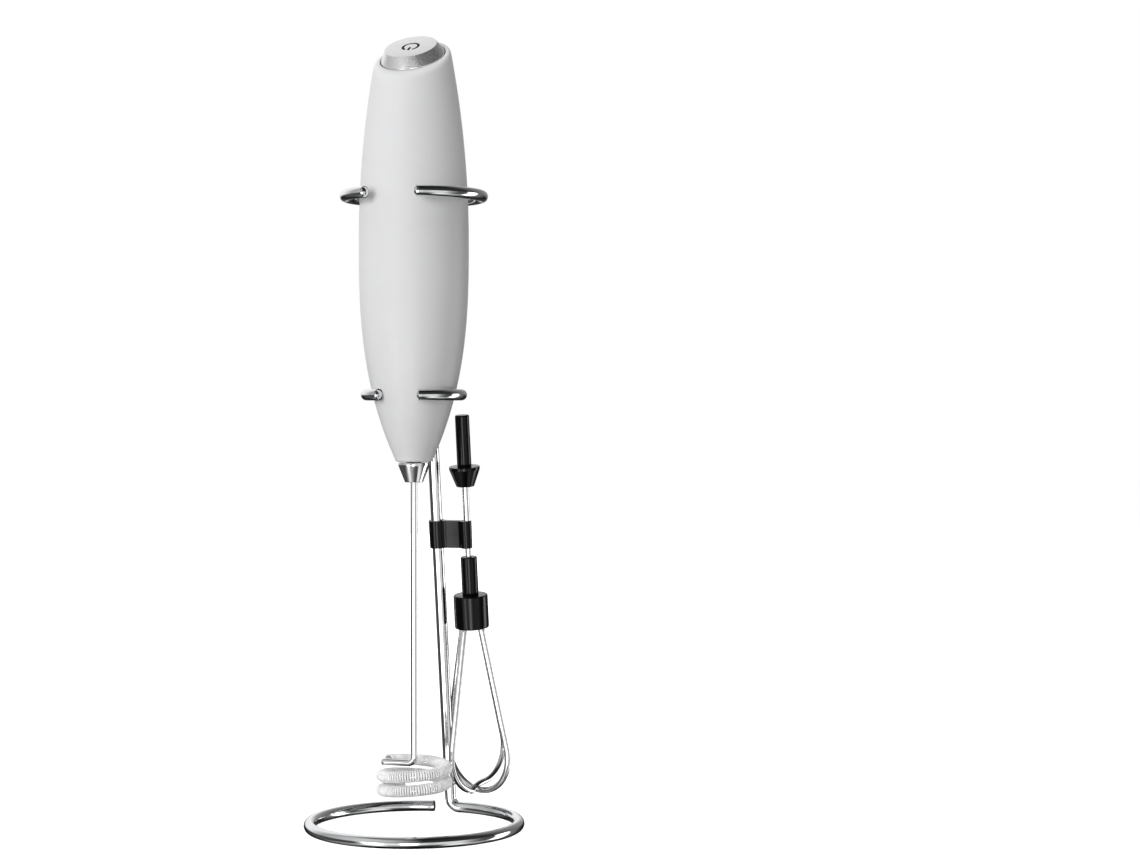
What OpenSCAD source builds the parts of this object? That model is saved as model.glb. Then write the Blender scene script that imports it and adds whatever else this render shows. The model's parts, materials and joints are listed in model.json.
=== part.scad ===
// Battery milk frother standing in a wire stand, with a spare egg beater clipped to the post.
// Millimetres, +Z up. The origin is on the frother's axis at the table. The post stands on
// the +Y side and the button on top slopes down towards -Y.

/* [Stand] */
// Diameter of the stand's wire
wire_d = 3.6; // [3.5:0.1:3.7]
// Centre-line radius of the ring on the table
base_ring_r = 32.4; // [32.2:0.2:33]
// Width of the flat-cut gap in the base ring, as an angle
base_gap = 9.5; // [9:0.5:12]
// Lean of the lower post towards the frother
post_lean = 7.8; // [7.6:0.1:8]
// Height of the ring that carries the handle
lower_ring_z = 134.7; // [134.5:0.1:135]
// Height of the ring around the handle's upper half
upper_ring_z = 196; // [195:0.5:197]
// Centre-line radius of the upper ring
upper_ring_r = 21.2; // [21:0.1:21.5]
// Half of the lower ring's mouth, as an angle
lower_mouth = 24; // [22:1:26]
// Half of the upper ring's mouth, as an angle
upper_mouth = 21; // [19:1:23]
// Height of the post's cut end
post_top_z = 198; // [198:0.5:200]

/* [Handle] */
// Largest outer radius of the handle
handle_r_max = 17; // [17:0.1:17.2]
// Height of the handle's widest place
belly_z = 182; // [181:0.5:183]
// Height of the handle's lower end
nose_z = 113.95; // [113.9:0.05:114]
// Wall of the handle
shell_wall = 1.5; // [1.4:0.1:1.6]
// Height of the sloping top where it meets the axis
top_z = 239.6; // [239:0.2:241]
// Slope of the top, falling towards the front
top_slope = 31; // [29:1:32]
// Half of the battery cover's width, as an angle
cover_half = 50; // [46:1:52]
// Height of the battery cover's lower edge
cover_z = 150; // [149:1:152]

/* [Button] */
// Radius of the button where it leaves the handle
button_r = 10; // [9.8:0.1:10.1]
// Radius of the button's face
button_face_r = 8.2; // [7.8:0.1:8.6]
// Height of the button over the sloping top
button_h = 3.3; // [3:0.1:3.5]
// Travel of the button
button_travel = 1.2; // [0.8:0.1:1.2]

/* [Whisk] */
// Diameter of both beater shafts
shaft_d = 2.1; // [2:0.05:2.1]
// Diameter of the plug that goes into the motor's socket
plug_d = 4.5; // [4.4:0.1:4.5]
// Radius of the coiled whisk, at the middle of its tube
coil_r = 10; // [9.8:0.1:10.1]
// Diameter of the coiled spring's tube
coil_d = 3.8; // [3.6:0.1:3.9]
// Rise of the coil in one turn
coil_pitch = 4.4; // [4.3:0.1:4.6]
// Turns of the coil
coil_turns = 2.1; // [2:0.05:2.2]

/* [Egg beater] */
// Distance from the post to the spare beater's shaft
clip_pitch = 10.2; // [10:0.1:10.4]
// Radius of the loops' round bottom
loop_r = 12.6; // [12.5:0.1:12.7]
// Diameter of the loops' wire
loop_wire_d = 2; // [1.9:0.05:2.05]
// Angle of the first loop around the beater's axis
loop_turn = -22; // [-23:1:-21]

/* [Hidden] */
$fn = 48;

// Small sizes that many parts share
far = 80;
running = 0.05;
bead_over = 0.03;
bead_gap = 0.05;
bead_turn = 0.1;

// Handle outline: a parabola above the belly and a power curve down to the nose
top_fall = 5;
top_len = 56;
nose_fall = 11;
nose_len = 67;
nose_power = 2.73;
nose_round = 0.8;
outline_step = 3;
function handle_r(z) = z > belly_z
  ? handle_r_max - top_fall * pow((z - belly_z) / top_len, 2)
  : handle_r_max - nose_fall * pow((belly_z - z) / nose_len, nose_power);
function handle_slope(z) = handle_r(z + 0.5) - handle_r(z - 0.5);

// Stand: the ring lies on a narrow flat, and the post passes tangent behind both upper rings
wire_r = wire_d / 2;
table_flat = 0.15;
wire_z = wire_r - table_flat;
bend_r = 3;
knee_bend_r = 12;
weld = 0.1;
rest_gap = 0.05;
lower_ring_r = handle_r(lower_ring_z)
  + (wire_r + rest_gap) * sqrt(1 + pow(handle_slope(lower_ring_z), 2));
bend_start = atan(bend_r / (base_ring_r - bend_r * sin(post_lean)));
bend_lean = atan(cos(bend_start) * tan(post_lean));
bend_y = base_ring_r * cos(bend_start) + bend_r * sin(bend_start)
  - bend_r * sin(bend_lean) * cos(bend_start);
bend_top = bend_r * cos(bend_lean) / cos(post_lean);
post_y = bend_y + bend_top * sin(post_lean);
post_low_y = lower_ring_r + wire_d - weld;
post_high_y = upper_ring_r + wire_d - weld;
upper_slope = (post_high_y - post_low_y) / (upper_ring_z - lower_ring_z);
upper_lean = atan(upper_slope);
knee_z = (post_y + wire_z * tan(post_lean) - post_low_y + lower_ring_z * upper_slope)
  / (tan(post_lean) + upper_slope);
knee_len = (knee_z - wire_z) / cos(post_lean);
knee_cut = knee_bend_r * tan((post_lean + upper_lean) / 2);
upper_len = (post_top_z - knee_z) / cos(upper_lean);

// Sloping top: depths are measured down from its surface
top_shift = -1;
lip = 0.3;
pocket_depth = 4.5;
deck = 4.5;
skirt = 1.8;
cap_wall = 1.2;
stem_r = 2;
mark_depth = 0.3;
mark_r = 2.45;
mark_line = 0.7;
mark_gap = 70;
holder_r = 8;
holder_low = -6.4;
board_low = -5;
board_top = -3.8;
board_r = 7.6;
switch_w = 6.4;
switch_top = -1.8;
plunger_r = 1.4;
plunger_low = -2.2;
plunger_top = -0.2;
board_screw_at = [5.2, 3.5];
screw_r = 0.7;
screw_head_r = 1.3;
column_x = 5.5;
column_r = 1.3;

// Inside the handle, from the nose upwards
bush_top = 120;
bush_r = 2.9;
cavity_z = 121;
socket_low = 121.3;
socket_top = 131.5;
socket_r = 3.5;
socket_floor = 128.8;
motor_low = 133;
motor_top = 147.4;
motor_r = 10;
motor_wall = 0.8;
endcap_top = 149;
shaft_r = 1;
shaft_low = 129.1;
terminal_top = 151.4;
terminal_x = 6;
chassis_low = 152.4;
chassis_t = 1.4;
chassis_r = 13.2;
chassis_top = 208.7;
cell_low = 157.2;
cell_len = 50.5;
cell_r = 7.1;
cell_x = 7.15;
nub_r = 2.75;
nub_h = 1;
fin_w = 2;
fin_front = -12.8;
fin_back = -6.2;
rib_at = [9, -8.6];
rib_r = 1;
joint_over = 0.2;
contact_t = 0.4;
plate_w = 9;
leaf_w = 6;
spring_r = 4.2;
spring_top_r = 2.6;
spring_wire_r = 0.25;
spring_turns = 3;
spring_steps = 48;
bridge_len = 20;
boss_r = 3;
boss_h = 1.2;
rotor_r = 8.2;
lead_r = 0.45;
lead_x = 3.2;
lead_y = -11.8;
lead_hole_r = 1;
front_lead_y = -13.45;
front_notch_r = 0.75;

// Whisk
shaft_radius = shaft_d / 2;
plug_r = plug_d / 2;
plug_low = 113.7;
plug_top = 128.7;
plug_bore = 125;
collar_low = 107.6;
collar_r = 4.85;
collar_tip_r = 2.8;
foot_z = 20.4;
foot_len = 10.7;
foot_bend = 2;
coil_top = 20.7;
coil_start = 165;
coil_sides = 12;
coil_steps = 30;

// Beater heights, along the post's own direction from the base ring
clip_low = 85.3;
clip_h = 8.75;
clip_wall = 0.7;
clip_end_r = 1.85;
clip_end_in = 0.5;
clip_web = 1.6;
beater_r = 1;
hub_low = 59.6;
hub_h = 10.65;
hub_r = 5.45;
neck_h = 12.25;
neck_r = 2.6;
beater_collar_low = 105.15;
beater_collar_h = 6.35;
beater_plug_top = 127.9;
loop_wire_r = loop_wire_d / 2;
loop_low = 6.05;
loop_spread = 3.9;
loop_in_hub = 4;
step_rise = 2.3;
step_from = 4;
step_to = 1.5;
corner_r = 10.6;

function unit(v) = v / norm(v);

// World position of a point on the sloping top: across, up the slope, and out from it
function top_point(x, y, z) = [
  x,
  (y + top_shift) * cos(top_slope) - z * sin(top_slope),
  top_z + (y + top_shift) * sin(top_slope) + z * cos(top_slope)
];

module on_top() {
  translate(top_point(0, 0, 0)) rotate([top_slope, 0, 0]) children();
}

module on_post() {
  translate([0, post_y, wire_z]) rotate([post_lean, 0, 0]) children();
}

module at_beater() {
  on_post() translate([clip_pitch, 0, 0]) children();
}

module disc(r, low, high) {
  translate([0, 0, low]) cylinder(r = r, h = high - low);
}

module ring(r_out, r_in, low, high) {
  difference() {
    disc(r_out, low, high);
    disc(r_in, low - 1, high + 1);
  }
}

// Ball that joins two lengths of wire. The lengths stop just short of each other inside it
module bead(r) {
  sphere(r = r + bead_over);
}

// Wire arc around Z, in its own plane
module wire_arc(r, from, angle) {
  rotate([0, 0, from]) rotate_extrude(angle = angle, $fn = 96)
    translate([r, 0]) circle(r = wire_r, $fn = 32);
}

// Wire bend that leaves the origin along +Z and curves towards +Y
module wire_bend(r, angle) {
  translate([0, r, 0]) rotate([90, 0, -90]) rotate_extrude(angle = angle, $fn = 96)
    translate([r, 0]) circle(r = wire_r, $fn = 32);
}

// Tube swept along a list of points, across which it has a fixed number of sides
module tube(path, r, sides, across) {
  last = len(path) - 1;
  rings = [
    for (i = [0:last])
      let (
        t = unit(path[min(i + 1, last)] - path[max(i - 1, 0)]),
        u = unit(cross(t, across)),
        v = cross(t, u)
      )
      for (k = [0:sides - 1])
        path[i] + r * (u * cos(360 * k / sides) + v * sin(360 * k / sides))
  ];
  walls = [
    for (i = [0:last - 1], k = [0:sides - 1])
      let (a = i * sides + k, b = i * sides + (k + 1) % sides)
      [a, a + sides, b + sides, b]
  ];
  first_cap = [for (k = [0:sides - 1]) k];
  last_cap = [for (k = [sides - 1:-1:0]) last * sides + k];
  polyhedron(points = rings, faces = concat(walls, [first_cap, last_cap]), convexity = 6);
}

// ---- Stand ----

// Leaning lower post, knee and upper post
module post() {
  knee_low = knee_len - knee_cut;
  on_post() {
    translate([0, 0, bend_top]) bead(wire_r);
    disc(wire_r, bend_top + bead_gap, knee_low - bead_gap);
    translate([0, 0, knee_low]) bead(wire_r);
    translate([0, 0, knee_low]) wire_bend(knee_bend_r, post_lean + upper_lean);
    translate([0, 0, knee_len]) rotate([-post_lean - upper_lean, 0, 0]) {
      translate([0, 0, knee_cut]) bead(wire_r);
      disc(wire_r, knee_cut + bead_gap, upper_len);
    }
  }
}

// One bent wire: the base ring, the bend, the leaning post, the knee and the upper post
module stand_wire() {
  ring_angle = 360 - base_gap - bend_start - bead_turn;
  color("silver") difference() {
    union() {
      translate([0, 0, wire_z]) wire_arc(base_ring_r, 90 + base_gap, ring_angle);
      rotate([0, 0, -bend_start]) translate([0, base_ring_r, wire_z]) {
        bead(wire_r);
        rotate([bend_lean, 0, 0]) translate([0, 0, bend_r]) rotate([0, 90, 90])
          rotate_extrude(angle = 90, $fn = 96) translate([bend_r, 0]) circle(r = wire_r, $fn = 32);
      }
      post();
    }
    translate([-far / 2, -far / 2, -far]) cube([far, far, far]);
  }
}

module lower_ring() {
  color("silver") translate([0, 0, lower_ring_z])
    wire_arc(lower_ring_r, lower_mouth - 90, 360 - 2 * lower_mouth);
}

module upper_ring() {
  color("silver") translate([0, 0, upper_ring_z])
    wire_arc(upper_ring_r, upper_mouth - 90, 360 - 2 * upper_mouth);
}

// ---- Handle ----

// Solid of revolution inside the handle's outline, drawn in by an inset
module handle_body(inset, low) {
  rounded = inset == 0 ? nose_round : 0;
  foot_r = handle_r(low) - inset;
  rotate_extrude($fn = 96) polygon(concat(
    [[0, low], [foot_r - rounded, low]],
    [for (a = [-60:30:0]) if (rounded > 0)
      [foot_r - rounded * (1 - cos(a)), low + rounded * (1 + sin(a))]],
    [for (z = [low + outline_step:outline_step:belly_z + 69]) [handle_r(z) - inset, z]],
    [[0, belly_z + 69]]
  ));
}

// Everything lower than a depth under the sloping top
module below_top(depth) {
  on_top() translate([-far, -far, -depth - 3 * far]) cube([2 * far, 2 * far, 3 * far]);
}

// The skin with the cell bay, the button's pocket and the bush's hole, before it is split
module handle_skin() {
  difference() {
    intersection() {
      handle_body(0, nose_z);
      below_top(0);
    }
    intersection() {
      handle_body(shell_wall, cavity_z);
      below_top(deck);
    }
    on_top() translate([0, 0, -pocket_depth - 1]) cylinder(r = button_r + lip, h = pocket_depth + 3);
    disc(bush_r, nose_z - 1, cavity_z + 1);
  }
}

// Wedge behind the axis that the battery cover fills, grown by a clearance
module cover_wedge(clear) {
  apex = -clear / sin(cover_half);
  translate([0, 0, cover_z - clear]) linear_extrude(height = 120) polygon([
    [0, apex],
    [far * tan(cover_half), apex + far],
    [-far * tan(cover_half), apex + far]
  ]);
}

module handle_shell() {
  color("white") difference() {
    handle_skin();
    cover_wedge(0.15);
  }
}

module battery_cover() {
  color("white") intersection() {
    handle_skin();
    cover_wedge(0);
  }
}

module nose_bush() {
  color("dimgray") ring(bush_r, plug_r + 2 * running, nose_z + 0.2, bush_top);
}

// Two decks joined by a front fin and two posts, which carry the cells
module chassis() {
  fin_low = chassis_low + chassis_t;
  color("lightgray") {
    for (low = [chassis_low, chassis_top])
      difference() {
        disc(chassis_r, low, low + chassis_t);
        for (side = [-1, 1])
          translate([side * lead_x, lead_y, 0]) disc(lead_hole_r, low - 1, low + chassis_t + 1);
        translate([0, front_lead_y, 0]) disc(front_notch_r, low - 1, low + chassis_t + 1);
      }
    translate([-fin_w / 2, fin_front, fin_low - joint_over])
      cube([fin_w, fin_back - fin_front, chassis_top - fin_low + 2 * joint_over]);
    for (side = [-1, 1])
      translate([side * rib_at[0], rib_at[1], 0])
        disc(rib_r, fin_low - joint_over, chassis_top + joint_over);
  }
}

// ---- Motor ----

module motor_can() {
  color("silver") difference() {
    union() {
      disc(motor_r, motor_low, motor_top);
      disc(boss_r, motor_low - boss_h, motor_low + motor_wall);
    }
    disc(motor_r - motor_wall, motor_low + motor_wall, motor_top + 1);
    disc(shaft_r + running, motor_low - 2, motor_low + 2);
  }
}

module motor_endcap() {
  color("dimgray") ring(motor_r, shaft_r + running, motor_top, endcap_top);
}

module motor_terminal(side) {
  color("goldenrod") translate([side * terminal_x - 1, -0.25, endcap_top])
    cube([2, 0.5, terminal_top - endcap_top]);
}

module motor_shaft() {
  color("silver") disc(shaft_r, shaft_low, endcap_top - 0.3);
}

module rotor() {
  color("peru") ring(rotor_r, shaft_r, motor_low + 4, motor_top - 2);
}

// Socket on the motor's shaft that takes either beater's plug
module drive_socket() {
  color("black") difference() {
    disc(socket_r, socket_low, socket_top);
    disc(plug_r + running, socket_low - 1, socket_floor);
    disc(shaft_r, shaft_low, socket_top + 1);
  }
}

// ---- Cells and contacts ----

module cell(side, nub_up) {
  body_low = nub_up ? cell_low : cell_low + nub_h;
  body_high = nub_up ? cell_low + cell_len - nub_h : cell_low + cell_len;
  color("darkgreen") translate([side * cell_x, 0, 0]) {
    disc(cell_r, body_low, body_high);
    if (nub_up) disc(nub_r, body_high - 0.5, body_high + nub_h);
    else disc(nub_r, body_low - nub_h, body_low + 0.5);
  }
}

// Conical spring under the left cell
module contact_spring() {
  low = chassis_low + chassis_t + contact_t + 0.25;
  high = cell_low - 0.3;
  color("silver") translate([-cell_x, 0, 0]) tube([
    for (i = [0:spring_steps])
      let (
        f = i / spring_steps,
        a = 360 * spring_turns * f,
        r = spring_r + (spring_top_r - spring_r) * f
      )
      [r * cos(a), r * sin(a), low + (high - low) * f]
  ], spring_wire_r, 8, [0, 0, 1]);
}

module contact_plate_left() {
  color("silver") translate([-cell_x - plate_w / 2, -plate_w / 2, chassis_low + chassis_t])
    cube([plate_w, plate_w, contact_t]);
}

// Folded leaf that presses on the right cell's nub
module contact_leaf_right() {
  low = chassis_low + chassis_t;
  high = cell_low - 0.1;
  color("silver") translate([cell_x, leaf_w / 2, 0]) rotate([90, 0, 0]) linear_extrude(height = leaf_w) polygon([
    [-4.5, low], [4, low], [4, high], [-2, high], [-2, high - contact_t],
    [4 - contact_t, high - contact_t], [4 - contact_t, low + contact_t], [-4.5, low + contact_t]
  ]);
}

// Plate under the upper deck that joins the two cells
module contact_bridge() {
  plate_low = chassis_top - contact_t;
  color("silver") {
    translate([-bridge_len / 2, -leaf_w / 2, plate_low]) cube([bridge_len, leaf_w, contact_t]);
    for (side = [-1, 1])
      translate([side * cell_x, 0, cell_low + cell_len + 0.05])
        cylinder(r = 2, h = plate_low - cell_low - cell_len);
  }
}

// ---- Switch under the sloping top ----

module switch_holder() {
  column_top = top_z + (board_low - 1) / cos(top_slope);
  screw_x = board_screw_at[0];
  screw_y = board_screw_at[1];
  color("lightgray") difference() {
    union() {
      on_top() disc(holder_r, holder_low, board_low);
      for (side = [-1, 1])
        translate([side * column_x, 0, 0]) disc(column_r, chassis_top + chassis_t, column_top);
    }
    for (side = [-1, 1])
      on_top() translate([side * screw_x, screw_y, holder_low - 1]) cylinder(r = screw_r, h = 3);
  }
}

module switch_board() {
  color("darkgreen") on_top() difference() {
    disc(board_r, board_low, board_top);
    for (side = [-1, 1])
      translate([side * board_screw_at[0], board_screw_at[1], board_low - 1]) cylinder(r = screw_r, h = 3);
  }
}

module switch_body() {
  color("black") on_top() difference() {
    translate([-switch_w / 2, -switch_w / 2, board_top])
      cube([switch_w, switch_w, switch_top - board_top]);
    disc(plunger_r + 0.3, board_top + 0.1, switch_top + 1);
  }
}

module switch_plunger() {
  color("red") on_top() disc(plunger_r, plunger_low, plunger_top);
}

module board_screw(side) {
  color("silver") on_top() translate([side * board_screw_at[0], board_screw_at[1], 0]) {
    disc(screw_head_r, board_top, board_top + 0.8);
    disc(screw_r, holder_low + 0.4, board_top + 0.2);
  }
}

// Routes of the three leads, laid by hand along the front of the cells
function board_edge(x) = top_point(x, -6.9, (board_low + board_top) / 2);
black_route = [
  [-terminal_x, -0.6, 150.6], [-terminal_x - 1, -3.2, 151.2], [-lead_x - 1, -9.5, 151.3],
  [-lead_x, lead_y, 152.6], [-lead_x, lead_y, 154.6], [-lead_x - 1, -8.5, 154.9], [-cell_x + 1, -4.2, 154.2]
];
red_route = [
  [terminal_x, -0.6, 150.6], [terminal_x, -5, 151.2], [lead_x + 0.6, -10.4, 151.3],
  [lead_x, lead_y, 153], [lead_x, lead_y, 180], [lead_x, lead_y, 209], [lead_x, lead_y + 0.6, 214],
  [lead_x, -9.6, 224], board_edge(lead_x)
];
yellow_route = [
  [cell_x - 3, -2.8, 154.4], [cell_x - 4.2, -6, 155.2], [lead_x - 1.4, -10.2, 155.6],
  [lead_x - 1.5, -13.3, 160], [lead_x - 1.5, -13.3, 200], [0, front_lead_y, 206], [0, front_lead_y, 212],
  [-lead_x + 1, -11.2, 217], [-lead_x, -9.4, 224], board_edge(-lead_x)
];

module lead_black() {
  color("black") tube(black_route, lead_r, 8, [1, 0, 0]);
}

module lead_red() {
  color("red") tube(red_route, lead_r, 8, [1, 0, 0]);
}

module lead_yellow() {
  color("gold") tube(yellow_route, lead_r, 8, [1, 0, 0]);
}

// ---- Button ----

// Power mark: an open ring with a stroke in its opening, towards the front
module mark_shape(low, high) {
  translate([0, 0, low]) rotate([0, 0, mark_gap / 2 - 90]) rotate_extrude(angle = 360 - mark_gap)
    translate([mark_r - mark_line / 2, 0]) square([mark_line, high - low]);
  translate([-mark_line / 2, -mark_r - mark_line / 2, low]) cube([mark_line, mark_r, high - low]);
}

// Tapered cup with a stem that meets the switch's plunger
module button_cap() {
  edge = 0.2;
  color("silver") on_top() difference() {
    rotate_extrude() polygon([
      [0, plunger_top + 0.1], [stem_r, plunger_top + 0.1], [stem_r, button_h - cap_wall],
      [button_face_r - cap_wall, button_h - cap_wall], [button_r - cap_wall, edge],
      [button_r - cap_wall, -skirt], [button_r, -skirt], [button_r, edge],
      [button_face_r, button_h - 0.25], [button_face_r - 0.25, button_h], [0, button_h]
    ]);
    mark_shape(button_h - mark_depth, button_h + 1);
  }
}

module power_mark() {
  color("dimgray") on_top() mark_shape(button_h - mark_depth, button_h - 0.05);
}

// ---- Coiled whisk ----

module plug(low, high, bore_high, bore_r) {
  color("black") difference() {
    disc(plug_r, low, high);
    disc(bore_r, low - 1, bore_high);
  }
}

// Cone with a short straight rim at its top, bored for the shaft
module collar(low, high, bore_r) {
  rim = 0.9;
  color("silver") rotate_extrude() polygon([
    [bore_r, low], [collar_tip_r - 0.3, low], [collar_tip_r, low + 0.3],
    [collar_r, high - rim], [collar_r, high - 0.3], [collar_r - 0.3, high], [bore_r, high]
  ]);
}

module whisk_plug() {
  plug(plug_low, plug_top, plug_bore, shaft_radius);
}

module whisk_collar() {
  collar(collar_low, plug_low, shaft_radius);
}

// Straight shaft that bends into a short foot across the coil's top
module whisk_shaft() {
  elbow_z = foot_z + foot_bend;
  color("silver") {
    disc(shaft_radius, elbow_z, plug_bore);
    translate([-foot_bend, 0, elbow_z]) rotate([90, 0, 0]) rotate_extrude(angle = -90)
      translate([foot_bend, 0]) circle(r = shaft_radius, $fn = 24);
    translate([-foot_len, 0, foot_z]) rotate([0, 90, 0])
      cylinder(r = shaft_radius, h = foot_len - foot_bend);
  }
}

// The spring's outer tube, falling clockwise from the foot's tip
module whisk_coil() {
  count = ceil(coil_turns * coil_steps);
  color("lightgray") tube([
    for (i = [0:count])
      let (turn = coil_turns * i / count, a = coil_start - 360 * turn)
      [coil_r * cos(a), coil_r * sin(a), coil_top - coil_pitch * turn]
  ], coil_d / 2, coil_sides, [0, 0, 1]);
}

// ---- Clip and spare beater ----

// Closed collar on the post, a web, and an open end whose mouth faces away from the frother
module clip() {
  collar_out = wire_r + running + clip_wall;
  color("black") on_post() translate([0, 0, clip_low]) difference() {
    union() {
      cylinder(r = collar_out, h = clip_h);
      translate([0, -clip_web / 2, 0]) cube([clip_pitch, clip_web, clip_h]);
      translate([clip_pitch - clip_end_in, 0, 0]) cylinder(r = clip_end_r, h = clip_h);
    }
    translate([0, 0, -1]) cylinder(r = wire_r + running, h = clip_h + 2);
    translate([clip_pitch, 0, -1]) cylinder(r = beater_r + running, h = clip_h + 2);
    translate([clip_pitch - beater_r - running, 0, -1])
      cube([2 * (beater_r + running), clip_end_r + 1, clip_h + 2]);
  }
}

module beater_plug() {
  at_beater() plug(beater_collar_low + beater_collar_h, beater_plug_top,
    beater_plug_top - 5, beater_r);
}

module beater_collar() {
  at_beater() collar(beater_collar_low, beater_collar_low + beater_collar_h, beater_r);
}

module beater_shaft() {
  color("silver") at_beater() disc(beater_r, hub_low + hub_h, beater_plug_top - 5);
}

module beater_neck() {
  neck_low = hub_low + hub_h;
  color("black") at_beater() rotate_extrude() polygon([
    [beater_r, neck_low], [neck_r, neck_low], [neck_r, neck_low + neck_h - 0.5],
    [neck_r - 0.5, neck_low + neck_h], [beater_r, neck_low + neck_h]
  ]);
}

module beater_hub() {
  color("black") at_beater() rotate_extrude() polygon([
    [0, hub_low], [hub_r - 0.6, hub_low], [hub_r, hub_low + 0.6], [hub_r, hub_low + hub_h - 0.8],
    [hub_r - 0.8, hub_low + hub_h], [0, hub_low + hub_h]
  ]);
}

// Angle over level where a loop's straight side leaves a bottom arc on its way into the hub
function loop_tangent(across, up, r) =
  let (run = [loop_spread - across, hub_low - up])
  90 - atan(run[0] / run[1]) - acos(r / norm(run));

// Bottom arc of a loop in its XZ plane, given by its centre, radius and angles
module loop_arc(across, up, r, from, to) {
  translate([across, 0, up]) rotate([90, 0, 0]) rotate([0, 0, from])
    rotate_extrude(angle = to - from, $fn = 96) translate([r, 0]) circle(r = loop_wire_r, $fn = 24);
}

// Straight side of a loop, from the end of its bottom arc into the hub
module loop_straight(across, up, r) {
  tangent = loop_tangent(across, up, r);
  run = [loop_spread - across, hub_low - up];
  translate([across + r * cos(tangent), 0, up + r * sin(tangent)]) rotate([0, -tangent, 0]) {
    bead(loop_wire_r);
    disc(loop_wire_r, bead_gap, sqrt(run * run - r * r) + loop_in_hub);
  }
}

// Straight length of loop wire between two points of its plane
module loop_link(start, end) {
  run = end - start;
  translate([start[0], 0, start[1]]) rotate([0, atan2(run[0], run[1]), 0]) {
    bead(loop_wire_r);
    disc(loop_wire_r, bead_gap, norm(run) - bead_gap);
  }
}

module beater_loop_front() {
  up = loop_low + loop_r;
  tangent = loop_tangent(0, up, loop_r);
  color("silver") at_beater() rotate([0, 0, loop_turn]) {
    loop_arc(0, up, loop_r, 180 - tangent, 360 + tangent);
    for (side = [0, 180]) rotate([0, 0, side]) loop_straight(0, up, loop_r);
  }
}

// The second loop steps up beside the axis and passes over the first
module beater_loop_side() {
  up = loop_low + loop_r;
  turned = asin(step_from / loop_r);
  crossing = loop_low + step_rise;
  corner_x = loop_r - corner_r;
  corner_up = crossing + corner_r;
  step_start = [-step_from, up - loop_r * cos(turned)];
  step_end = [-step_to, crossing];
  color("silver") at_beater() rotate([0, 0, loop_turn + 90]) {
    rotate([0, 0, 180]) {
      loop_arc(0, up, loop_r, 270 + turned, 360 + loop_tangent(0, up, loop_r));
      loop_straight(0, up, loop_r);
    }
    loop_link(step_start, step_end);
    loop_link(step_end, [corner_x, crossing]);
    translate([corner_x, 0, crossing]) rotate([0, 90, 0]) bead(loop_wire_r);
    loop_arc(corner_x, corner_up, corner_r, 270, 360 + loop_tangent(corner_x, corner_up, corner_r));
    loop_straight(corner_x, corner_up, corner_r);
  }
}

stand_wire();
lower_ring();
upper_ring();
handle_shell();
battery_cover();
nose_bush();
chassis();
motor_can();
motor_endcap();
motor_terminal(-1);  // motor_terminal_left
motor_terminal(1);  // motor_terminal_right
cell(-1, true);  // cell_left
cell(1, false);  // cell_right
contact_spring();
contact_plate_left();
contact_leaf_right();
contact_bridge();
switch_holder();
switch_board();
switch_body();
board_screw(-1);  // board_screw_left
board_screw(1);  // board_screw_right
lead_black();
lead_red();
lead_yellow();
button_cap();
power_mark();
switch_plunger();
motor_shaft();
rotor();
drive_socket();
whisk_plug();
whisk_collar();
whisk_shaft();
whisk_coil();
clip();
beater_plug();
beater_collar();
beater_shaft();
beater_neck();
beater_hub();
beater_loop_front();
beater_loop_side();
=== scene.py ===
"""Looks of the milk frother on its wire stand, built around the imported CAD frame. Metres."""

import json
import math

import bmesh
import bpy
import numpy as np
from mathutils import Matrix, Vector
from mathutils.geometry import tessellate_polygon


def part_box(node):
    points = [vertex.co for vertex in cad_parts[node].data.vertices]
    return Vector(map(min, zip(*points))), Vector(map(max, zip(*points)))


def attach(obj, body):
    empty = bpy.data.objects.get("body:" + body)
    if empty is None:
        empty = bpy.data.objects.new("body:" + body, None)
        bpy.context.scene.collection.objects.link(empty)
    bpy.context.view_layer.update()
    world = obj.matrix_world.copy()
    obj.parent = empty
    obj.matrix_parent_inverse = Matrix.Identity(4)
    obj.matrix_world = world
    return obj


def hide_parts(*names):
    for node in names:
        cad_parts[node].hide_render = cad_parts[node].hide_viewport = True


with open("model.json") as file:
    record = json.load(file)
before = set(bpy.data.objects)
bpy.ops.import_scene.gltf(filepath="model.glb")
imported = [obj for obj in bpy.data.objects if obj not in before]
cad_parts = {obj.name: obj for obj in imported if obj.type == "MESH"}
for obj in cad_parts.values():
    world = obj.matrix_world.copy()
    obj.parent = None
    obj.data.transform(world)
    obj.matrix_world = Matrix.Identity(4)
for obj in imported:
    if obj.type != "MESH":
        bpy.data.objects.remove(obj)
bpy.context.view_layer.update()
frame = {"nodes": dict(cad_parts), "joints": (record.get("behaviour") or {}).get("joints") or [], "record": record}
nodes = frame["nodes"]
joints = {joint["name"]: joint for joint in frame["joints"]}

MM = 0.001
X_AXIS = Vector((1, 0, 0))
Z_AXIS = Vector((0, 0, 1))


# ---- Measures taken from the frame ----

def points_of(node):
    """Vertices of a CAD node, as an array."""
    return np.array([v.co for v in nodes[node].data.vertices], float)


def span(node, direction, origin=Vector((0, 0, 0))):
    """Lowest and highest place of a CAD node along a direction, counted from an origin."""
    along = (points_of(node) - np.array(origin)) @ np.array(direction)
    return float(along.min()), float(along.max())


def upright(origin, z_axis):
    """Matrix of a frame at origin whose x axis is the world's and whose z axis is given."""
    z = Vector(z_axis).normalized()
    x = (X_AXIS - z * X_AXIS.dot(z)).normalized()
    y = z.cross(x)
    return Matrix.Translation(origin) @ Matrix((x, y, z)).transposed().to_4x4()


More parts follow.
